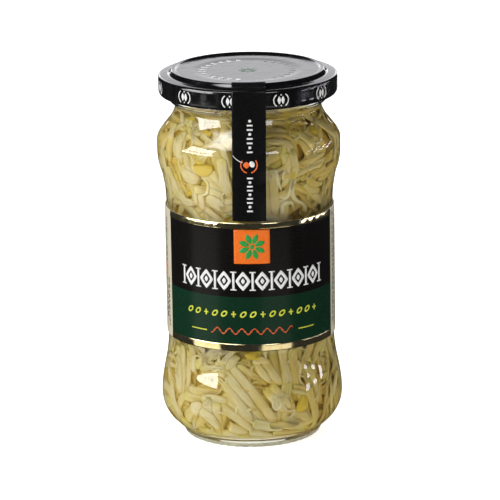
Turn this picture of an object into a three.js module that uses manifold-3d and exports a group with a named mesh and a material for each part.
// A jar of bean sprouts, in millimetres: a waisted round glass jar with a twist-off lid, a wrap
// label round its waist, a paper seal strip over the front of the lid, and the pickled sprouts
// packed inside in their brine. +Z is up, the front faces -Y, and the origin is the middle of the
// ring that the jar stands on.
import * as THREE from "three";
import { mergeVertices } from "three/addons/utils/BufferGeometryUtils.js";
import Module from "manifold-3d";

const wasm = await Module();
wasm.setup();

// ---------------------------------------------------------------- driving dimensions

const FACES_ROUND = 32; // straight faces round the jar, its lid and its label
const FULL_TURN = 2 * Math.PI;

const LID_RADIUS = 33.0; // a 63 mm twist-off lid is 66 mm across outside
const LID_LOW = 129.8; // underside of the lid's rolled edge
const LID_HIGH = 138.8; // crest of the raised ring round the lid's panel
const LID_SHEET = 0.7;
const LUGS = 4; // the lid's lugs, and the threads on the glass that they slide under
const LUG_LENGTH = 9;
const LUG_REACH = 1.5;
const LUG_HEIGHT = 1.1;

const WAIST_RADIUS = 30.9; // the straight part of the glass, where the label goes
const FOOT_RADIUS = 25.1; // outer edge of the ring that the jar stands on
const FOOT_WIDTH = 2.8;
const PUNT_DEPTH = 2.2; // how far the middle of the base is pushed up
const FINISH_RADIUS = 29.4; // the glass under the lid, without its threads
const FINISH_TOP = 135.2; // the rim that the lid's gasket presses on
const MOUTH_RADIUS = 26.0;
const FLOOR_MIDDLE = 6.2; // height of the inside of the base on the axis
const THREAD_SWEEP = THREE.MathUtils.degToRad(62);
const THREAD_RISE = 2.0;
const THREAD_LOW = 131.9;
const THREAD_THICKNESS = [0.45, 1.1]; // at its ends and in its middle
const THREAD_STEPS = 8;

const LABEL_LOW = 39.0;
const LABEL_HIGH = 88.0;
const LABEL_CLEARANCE = 0.2;
const LABEL_SHEET = 0.4;
const LABEL_GAP = 12; // bare glass between the label's two ends, at the back

const STRIP_WIDTH = 12.3;
const STRIP_SHEET = 0.35;
const STRIP_CLEARANCE = 0.2;
const STRIP_STEPS = [20, 3]; // along it and across it
const STRIP_TURN = THREE.MathUtils.degToRad(-1.2); // it sits a little to the left of the middle

const BRINE_CLEARANCE = 0.35; // between the brine and the glass
const BRINE_LAYER = 0.9; // thickness of the brine outside the packed sprouts
const BRINE_LEVEL = 128.6;
const BRINE_FLOOR = 1.2;
const BRINE_FACES = 24;

const SPROUT_STEM_RADIUS = 2.9; // stouter than a real one, so that fewer cover the denser middle
const SPROUT_TIP_RADIUS = 1.7;

// ---------------------------------------------------------------- solids

/** A closed three.js geometry as a solid, with its shared corners merged and its slivers dropped. */
function toSolid(geometry) {
  const bare = geometry.clone();
  bare.deleteAttribute("normal");
  bare.deleteAttribute("uv");
  const merged = mergeVertices(bare, 1e-4);
  const source = merged.index.array;
  const kept = [];
  for (let i = 0; i < source.length; i += 3) {
    const [a, b, c] = [source[i], source[i + 1], source[i + 2]];
    if (a !== b && b !== c && c !== a) kept.push(a, b, c);
  }
  return new wasm.Manifold(
    new wasm.Mesh({
      numProp: 3,
      vertProperties: new Float32Array(merged.attributes.position.array),
      triVerts: new Uint32Array(kept),
    }),
  );
}

/** A solid as a three.js geometry. */
function toGeometry(solid) {
  const mesh = solid.getMesh();
  const geometry = new THREE.BufferGeometry();
  geometry.setAttribute("position", new THREE.BufferAttribute(mesh.vertProperties.slice(), 3));
  geometry.setIndex(new THREE.BufferAttribute(mesh.triVerts.slice(), 1));
  geometry.computeVertexNormals();
  return geometry;
}

/** The outer skin of a solid's biggest body: pockets closed off inside it are filled, scraps dropped. */
function largestBody(solid) {
  return solid.decompose().reduce((best, body) => (body.volume() > best.volume() ? body : best));
}

/** Turns an outline of [radius, height] points, walked anticlockwise, about the Z axis. */
function turned(outline, facesRound = FACES_ROUND) {
  const points = outline.map(([radius, height]) => new THREE.Vector2(radius, height));
  const geometry = new THREE.LatheGeometry(points, facesRound);
  return geometry.rotateX(Math.PI / 2);
}

/** A closed sheet of small thickness: pointAt(u, v, side) gives its inner (0) and outer (1) faces. */
function sheet(pointAt, stepsU, stepsV) {
  const positions = [];
  const index = [];
  const at = (i, j, side) => (side * (stepsU + 1) + i) * (stepsV + 1) + j;
  for (const side of [0, 1]) {
    for (let i = 0; i <= stepsU; i++) {
      for (let j = 0; j <= stepsV; j++) positions.push(...pointAt(i / stepsU, j / stepsV, side));
    }
  }
  const quad = (a, b, c, d) => index.push(a, b, c, a, c, d);
  for (let i = 0; i < stepsU; i++) {
    for (let j = 0; j < stepsV; j++) {
      quad(at(i, j, 1), at(i + 1, j, 1), at(i + 1, j + 1, 1), at(i, j + 1, 1));
      quad(at(i, j, 0), at(i, j + 1, 0), at(i + 1, j + 1, 0), at(i + 1, j, 0));
    }
  }
  for (let i = 0; i < stepsU; i++) {
    quad(at(i, 0, 0), at(i + 1, 0, 0), at(i + 1, 0, 1), at(i, 0, 1));
    quad(at(i, stepsV, 1), at(i + 1, stepsV, 1), at(i + 1, stepsV, 0), at(i, stepsV, 0));
  }
  for (let j = 0; j < stepsV; j++) {
    quad(at(0, j, 1), at(0, j + 1, 1), at(0, j + 1, 0), at(0, j, 0));
    quad(at(stepsU, j, 0), at(stepsU, j + 1, 0), at(stepsU, j + 1, 1), at(stepsU, j, 1));
  }
  const geometry = new THREE.BufferGeometry();
  geometry.setAttribute("position", new THREE.Float32BufferAttribute(positions, 3));
  geometry.setIndex(index);
  return geometry;
}

/** A round tube along a curve whose radius changes from its start (0) to its end (1). */
function taperedTube(path, radiusAt, steps, sides) {
  const frames = path.computeFrenetFrames(steps, false);
  const positions = [];
  const index = [];
  for (let i = 0; i <= steps; i++) {
    const centre = path.getPointAt(i / steps);
    for (let k = 0; k < sides; k++) {
      const turn = (FULL_TURN * k) / sides;
      const out = frames.normals[i].clone().multiplyScalar(Math.cos(turn));
      out.addScaledVector(frames.binormals[i], Math.sin(turn));
      positions.push(...out.multiplyScalar(radiusAt(i / steps)).add(centre).toArray());
    }
  }
  for (let i = 0; i < steps; i++) {
    for (let k = 0; k < sides; k++) {
      const [a, b] = [i * sides + k, i * sides + ((k + 1) % sides)];
      index.push(a, b, b + sides, a, b + sides, a + sides);
    }
  }
  const last = steps * sides;
  for (let k = 1; k < sides - 1; k++) {
    index.push(0, k + 1, k);
    index.push(last, last + k, last + k + 1);
  }
  const geometry = new THREE.BufferGeometry();
  geometry.setAttribute("position", new THREE.Float32BufferAttribute(positions, 3));
  geometry.setIndex(index);
  return geometry;
}

/** The radius at a height on an outline of [radius, height] points whose heights only rise. */
function radiusOn(outline, height) {
  const above = outline.findIndex((point) => point[1] >= height);
  if (above <= 0) return outline[above === 0 ? 0 : outline.length - 1][0];
  const [lowRadius, lowHeight] = outline[above - 1];
  const [highRadius, highHeight] = outline[above];
  return THREE.MathUtils.mapLinear(height, lowHeight, highHeight, lowRadius, highRadius);
}

/** A smooth curve through [radius, height] points, cut into that many straight stretches. */
function smooth(points, stretches) {
  const curve = new THREE.SplineCurve(points.map(([radius, height]) => new THREE.Vector2(radius, height)));
  return curve.getPoints(stretches).map((point) => [point.x, point.y]);
}

// ---------------------------------------------------------------- the glass jar

const lowerBulge = smooth(
  [[FOOT_RADIUS, 0], [26.9, 3], [31.1, 7.2], [33.5, 12], [33.8, 17.5], [33.0, 24], [31.5, 31],
    [WAIST_RADIUS, LABEL_LOW - 1.5]],
  8,
);
const upperBulge = smooth(
  [[WAIST_RADIUS, LABEL_HIGH + 1.5], [31.2, 94], [32.3, 100], [33.6, 105], [34.0, 110.3], [33.4, 114],
    [31.3, 117.5], [28.4, 120.8], [27.4, 124.2]],
  9,
);
const neckBeadAndFinish = [
  [28.4, 125.9], [30.1, 126.9], [30.3, 128.1], [29.9, 129.2], [FINISH_RADIUS, 129.6],
  [FINISH_RADIUS, FINISH_TOP - 0.9], [FINISH_RADIUS - 0.9, FINISH_TOP],
];
const outsideOfGlass = [...lowerBulge, ...upperBulge, ...neckBeadAndFinish];

const insideOfGlass = [
  [20, 5.4], [26.5, 7.0], [30.3, 11.5], [31.2, 17.5], [30.2, 25.5], [28.5, LABEL_LOW - 3],
  [28.5, LABEL_HIGH + 3], [30.3, 101.5], [31.2, 109.5], [30.0, 115], [25.6, 121], [24.7, 124.4],
  [MOUTH_RADIUS, 131], [MOUTH_RADIUS, FINISH_TOP - 0.6],
];

/** One of the short sloping threads that the lid's lugs slide under. */
function thread(start) {
  const axisRadius = FINISH_RADIUS + 0.1;
  const points = [];
  for (let i = 0; i <= THREAD_STEPS; i++) {
    const angle = start + (THREAD_SWEEP * i) / THREAD_STEPS;
    const height = THREAD_LOW + (THREAD_RISE * i) / THREAD_STEPS;
    points.push(new THREE.Vector3(axisRadius * Math.cos(angle), axisRadius * Math.sin(angle), height));
  }
  const path = new THREE.CatmullRomCurve3(points);
  const radiusAt = (t) => THREE.MathUtils.lerp(...THREAD_THICKNESS, Math.sin(Math.PI * t) ** 0.5);
  return toSolid(taperedTube(path, radiusAt, THREAD_STEPS, 6));
}

function glassJar() {
  const footInner = FOOT_RADIUS - FOOT_WIDTH;
  const outline = [
    [0, PUNT_DEPTH], [footInner - 4.5, PUNT_DEPTH - 0.3], [footInner, 0],
    ...outsideOfGlass,
    [MOUTH_RADIUS + 0.7, FINISH_TOP],
    ...insideOfGlass.toReversed(),
    [0, FLOOR_MIDDLE],
  ];
  let solid = toSolid(turned(outline));
  for (let i = 0; i < LUGS; i++) solid = solid.add(thread((FULL_TURN * i) / LUGS));
  return toGeometry(solid);
}

// ---------------------------------------------------------------- the lid and its gasket

const PANEL_CREST_RADIUS = 27.9; // the raised ring round the lid's panel
const SHOULDER_TOP = 137.2; // the flat ring between the panel and the skirt
const SHOULDER_INNER = 29.4;

/** The outer face of the lid from its middle out to its rolled edge. */
const outsideOfLid = [
  [18.2, LID_HIGH - 0.9], [19.0, LID_HIGH - 0.6], [26.2, LID_HIGH - 0.6], [PANEL_CREST_RADIUS - 0.8, LID_HIGH],
  [PANEL_CREST_RADIUS, LID_HIGH], [SHOULDER_INNER, SHOULDER_TOP], [31.7, SHOULDER_TOP - 0.1],
  [LID_RADIUS - 0.5, 136.6], [LID_RADIUS - 0.05, 135.3], [LID_RADIUS - 0.35, 133.6],
  [LID_RADIUS - 0.1, 133.0], [LID_RADIUS, 131.6], [LID_RADIUS - 0.3, 130.3],
  [LID_RADIUS - 1.0, LID_LOW],
];
const insideOfLid = [
  [31.3, 130.2], [30.95, 131.4], [31.3, 132.6], [LID_RADIUS - 0.35 - LID_SHEET, 133.2],
  [LID_RADIUS - 0.05 - LID_SHEET, 135.2], [31.6, 136.3], [29.1, SHOULDER_TOP - LID_SHEET - 0.1],
  [PANEL_CREST_RADIUS - 0.3, LID_HIGH - LID_SHEET - 0.1], [26.3, LID_HIGH - 0.6 - LID_SHEET],
  [19.2, LID_HIGH - 0.6 - LID_SHEET], [18.4, LID_HIGH - 0.9 - LID_SHEET],
];

/** One of the lugs pinched inwards out of the lid's rolled edge. */
function lug(angle) {
  const shape = new THREE.Shape();
  shape.moveTo(-LUG_LENGTH / 2, 0);
  shape.lineTo(LUG_LENGTH / 2, 0);
  shape.lineTo(LUG_LENGTH / 4, -LUG_REACH);
  shape.lineTo(-LUG_LENGTH / 4, -LUG_REACH);
  const geometry = new THREE.ExtrudeGeometry(shape, { depth: LUG_HEIGHT, bevelEnabled: false });
  geometry.translate(0, LID_RADIUS - 1.6, LID_LOW + 0.5);
  geometry.rotateZ(angle);
  return toSolid(geometry);
}

function twistOffLid() {
  const outline = [
    [0, LID_HIGH - 0.9 - LID_SHEET], ...insideOfLid.toReversed(), ...outsideOfLid.toReversed(),
    [0, LID_HIGH - 0.9],
  ];
  let solid = toSolid(turned(outline));
  for (let i = 0; i < LUGS; i++) solid = solid.add(lug((FULL_TURN * (i + 0.25)) / LUGS));
  return toGeometry(solid);
}

function lidGasket() {
  const low = FINISH_TOP + 0.3;
  const outline = [
    [26.8, low], [31.2, low], [31.2, low + 0.5], [29.3, low + 0.6], [28.0, low + 1.6], [26.8, low + 1.6],
    [26.8, low],
  ];
  return turned(outline);
}

// ---------------------------------------------------------------- label and seal strip

function wrapLabel() {
  const inner = WAIST_RADIUS + LABEL_CLEARANCE;
  const halfGap = LABEL_GAP / 2 / WAIST_RADIUS;
  const pointAt = (u, v, side) => {
    const radius = inner + side * LABEL_SHEET;
    const angle = Math.PI / 2 + halfGap + u * (FULL_TURN - 2 * halfGap);
    const height = THREE.MathUtils.lerp(LABEL_LOW, LABEL_HIGH, v);
    return [radius * Math.cos(angle), radius * Math.sin(angle), height];
  };
  return sheet(pointAt, FACES_ROUND - 2, 1);
}

/** The strip's way, as [radius, height] points, from the lid's panel down to the top of the label. */
const stripPath = smooth(
  [[PANEL_CREST_RADIUS - 1.2, LID_HIGH], [PANEL_CREST_RADIUS, LID_HIGH], [29.6, SHOULDER_TOP + 0.7],
    [32.1, SHOULDER_TOP + 0.1], [LID_RADIUS, 135.6], [LID_RADIUS, 130.5], [33.15, 121], [33.9, 113],
    [34.0, 109.5], [33.6, 105], [32.3, 100], [31.2, 94], [WAIST_RADIUS, LABEL_HIGH + 0.5]],
  STRIP_STEPS[0],
);

function sealStrip() {
  const pointAt = (u, v, side) => {
    const place = Math.round(u * STRIP_STEPS[0]);
    const before = stripPath[Math.max(place - 1, 0)];
    const after = stripPath[Math.min(place + 1, STRIP_STEPS[0])];
    const along = new THREE.Vector2(after[0] - before[0], after[1] - before[1]).normalize();
    const lift = STRIP_CLEARANCE + side * STRIP_SHEET;
    const radius = stripPath[place][0] - along.y * lift;
    const height = stripPath[place][1] + along.x * lift;
    const across = (v - 0.5) * STRIP_WIDTH;
    return [across, -Math.sqrt(radius ** 2 - across ** 2), height];
  };
  return sheet(pointAt, ...STRIP_STEPS);
}

// ---------------------------------------------------------------- brine and sprouts

/** A line parallel to the inside of the glass, that far in from it, between two heights. */
function insetLine(inset, low, high) {
  const heights = insideOfGlass.map((point) => point[1]).filter((z) => z > low + 1 && z < high - 1);
  return [low, ...heights, high].map((z) => [radiusOn(insideOfGlass, z) - inset, z]);
}

/** The brine round the packed sprouts: it has a plain round hole in which they all stand. */
function brine() {
  const floor = FLOOR_MIDDLE + BRINE_CLEARANCE;
  const corner = floor + 1.2;
  const outside = insetLine(BRINE_CLEARANCE, corner, BRINE_LEVEL);
  const hole = insetLine(BRINE_CLEARANCE + BRINE_LAYER, corner + BRINE_FLOOR, BRINE_LEVEL);
  const outline = [[0, floor], [20, floor - 0.4], ...outside, ...hole.toReversed(), [0, floor + BRINE_FLOOR]];
  return turned(outline, BRINE_FACES);
}

/** Evenly spread numbers from 0 to 1 in a fixed order, from a whole-number seed. */
function randomFrom(seed) {
  let state = seed >>> 0;
  return () => {
    state = (Math.imul(state, 1664525) + 1013904223) >>> 0;
    return state / 2 ** 32;
  };
}

const SEAT_INSET = BRINE_CLEARANCE + BRINE_LAYER + 0.5; // outermost reach of a sprout, in from the glass
const CORE_INSET = SEAT_INSET + 1.9 * SPROUT_STEM_RADIUS; // the denser middle of the packed sprouts
const SPROUTS_LOW = 9.4;
const SPROUTS_HIGH = 127.4;
const SPROUT_LENGTH = 36; // the stretch of a sprout that shows at the glass
const SPROUT_SPACING = 6.4; // between sprouts that lie side by side
const SPROUT_OVERLAP = 0.3; // share of a sprout's length that the next one may lie beside
const PLACES_TRIED = 12000;
const HEADING_SPREAD = 0.12; // radians either side of the swirl, all told
const BEND_SPREAD = 0.4;
const SPROUT_SEED = 20417;
const SPROUT_STEPS = 4;
const SPROUT_SIDES = 5;
const END_DIVE = 4.4; // how far a sprout's two ends turn in among the others
const BEAN_SIZE = [3.3, 3.3, 4.2];
const BEAN_EVERY = 5;
const BEAN_PLACE = 0.2; // how far along the stem, from the end that dives in

/** The line of a sprout that lies against the wall, with its middle at that angle and height. */
function sproutPath(angle, height, heading, bend, inset) {
  const step = SPROUT_LENGTH / SPROUT_STEPS;
  const radiusThere = radiusOn(insideOfGlass, height);
  const offsets = [new THREE.Vector2(0, 0)];
  for (let i = 0; i < SPROUT_STEPS; i++) {
    const way = heading + bend * ((i + 0.5) / SPROUT_STEPS - 0.5);
    offsets.push(new THREE.Vector2(Math.cos(way), Math.sin(way)).multiplyScalar(step).add(offsets[i]));
  }
  const middle = offsets[SPROUT_STEPS].clone().multiplyScalar(0.5);
  const margin = SPROUT_STEM_RADIUS + 0.2;
  const points = offsets.map((offset, i) => {
    const z = THREE.MathUtils.clamp(height + offset.y - middle.y, SPROUTS_LOW + margin, SPROUTS_HIGH - margin);
    const dive = END_DIVE * Math.abs((2 * i) / SPROUT_STEPS - 1) ** 3;
    const seat = radiusOn(insideOfGlass, z) - SEAT_INSET - SPROUT_STEM_RADIUS - inset - dive;
    const turn = angle + (offset.x - middle.x) / radiusThere;
    return new THREE.Vector3(seat * Math.cos(turn), seat * Math.sin(turn), z);
  });
  return new THREE.CatmullRomCurve3(points);
}

/** The stem of a sprout, thinning towards its root, and its seed leaves where it keeps them. */
function sproutSolids(path, withBean) {
  const thinning = (t) => Math.max(0, t - 0.5) / 0.5;
  const radiusAt = (t) => THREE.MathUtils.lerp(SPROUT_STEM_RADIUS, SPROUT_TIP_RADIUS, thinning(t));
  const solids = [toSolid(taperedTube(path, radiusAt, SPROUT_STEPS, SPROUT_SIDES))];
  if (withBean) {
    const bean = new THREE.SphereGeometry(1, 5, 3).scale(...BEAN_SIZE);
    bean.lookAt(path.getTangentAt(BEAN_PLACE));
    bean.translate(...path.getPointAt(BEAN_PLACE).toArray());
    solids.push(toSolid(bean));
  }
  return solids;
}

/** The way the sprouts lie at a place on the wall, as an angle from level: it swirls slowly. */
function flowAt(angle, height) {
  return Math.PI * (0.5 + 0.3 * Math.sin(2 * angle + height / 16) + 0.14 * Math.sin(3 * angle - height / 11));
}

/** Places on the wall where sprouts fit side by side and end to end, found by trying one after another. */
function sproutPlaces(random) {
  const places = [];
  for (let tried = 0; tried < PLACES_TRIED; tried++) {
    const angle = FULL_TURN * random();
    const height = THREE.MathUtils.lerp(SPROUTS_LOW + 3, SPROUTS_HIGH - 4, random());
    const heading = flowAt(angle, height) + HEADING_SPREAD * (random() - 0.5);
    const radius = radiusOn(insideOfGlass, height) - SEAT_INSET - SPROUT_STEM_RADIUS;
    const isTaken = places.some((other) => {
      const around = THREE.MathUtils.euclideanModulo(other.angle - angle + Math.PI, FULL_TURN) - Math.PI;
      const offset = new THREE.Vector2(around * radius, other.height - height);
      offset.rotateAround(new THREE.Vector2(), -(heading + other.heading) / 2);
      return Math.abs(offset.x) < SPROUT_LENGTH * (1 - SPROUT_OVERLAP) && Math.abs(offset.y) < SPROUT_SPACING;
    });
    if (!isTaken) places.push({ angle, height, heading });
  }
  return places;
}

/** The packed sprouts: those at the glass lie in swirls and stand out of the denser middle. */
function sprouts() {
  const random = randomFrom(SPROUT_SEED);
  const coreLine = [SPROUTS_LOW, 17, LABEL_LOW - 3, LABEL_HIGH + 3, 109, SPROUTS_HIGH].map((height) => {
    return [radiusOn(insideOfGlass, height) - CORE_INSET, height];
  });
  const solids = [toSolid(turned([[0, SPROUTS_LOW], ...coreLine, [0, SPROUTS_HIGH]], 9))];
  sproutPlaces(random).forEach(({ angle, height, heading }, i) => {
    const path = sproutPath(angle, height, heading, BEND_SPREAD * (random() - 0.5), random());
    solids.push(...sproutSolids(path, i % BEAN_EVERY === 0));
  });
  return toGeometry(largestBody(wasm.Manifold.union(solids)));
}

// ---------------------------------------------------------------- materials and assembly

const glass = new THREE.MeshStandardMaterial({
  color: 0xdfe8df, roughness: 0.04, metalness: 0, transparent: true, opacity: 0.25,
});
const lacqueredTin = new THREE.MeshStandardMaterial({ color: 0x101010, roughness: 0.25, metalness: 0.3 });
const sealingRubber = new THREE.MeshStandardMaterial({ color: 0xe9e4d6, roughness: 0.6, metalness: 0 });
const printedPaper = new THREE.MeshStandardMaterial({ color: 0x10241c, roughness: 0.4, metalness: 0 });
const sealPaper = new THREE.MeshStandardMaterial({ color: 0x141414, roughness: 0.5, metalness: 0 });
const pickle = new THREE.MeshStandardMaterial({
  color: 0xd9b54a, roughness: 0.05, metalness: 0, transparent: true, opacity: 0.4,
});
const sproutFlesh = new THREE.MeshStandardMaterial({ color: 0xe9dcae, roughness: 0.45, metalness: 0 });

const jar = new THREE.Group();

function place(name, geometry, material) {
  const mesh = new THREE.Mesh(geometry, material);
  mesh.name = name;
  jar.add(mesh);
  return mesh;
}

place("glass_jar", glassJar(), glass);
place("twist_off_lid", twistOffLid(), lacqueredTin);
place("lid_gasket", lidGasket(), sealingRubber);
place("wrap_label", wrapLabel(), printedPaper);
place("seal_strip", sealStrip(), sealPaper).rotation.z = STRIP_TURN;
place("brine", brine(), pickle);

place("sprouts", sprouts(), sproutFlesh);

export default jar;
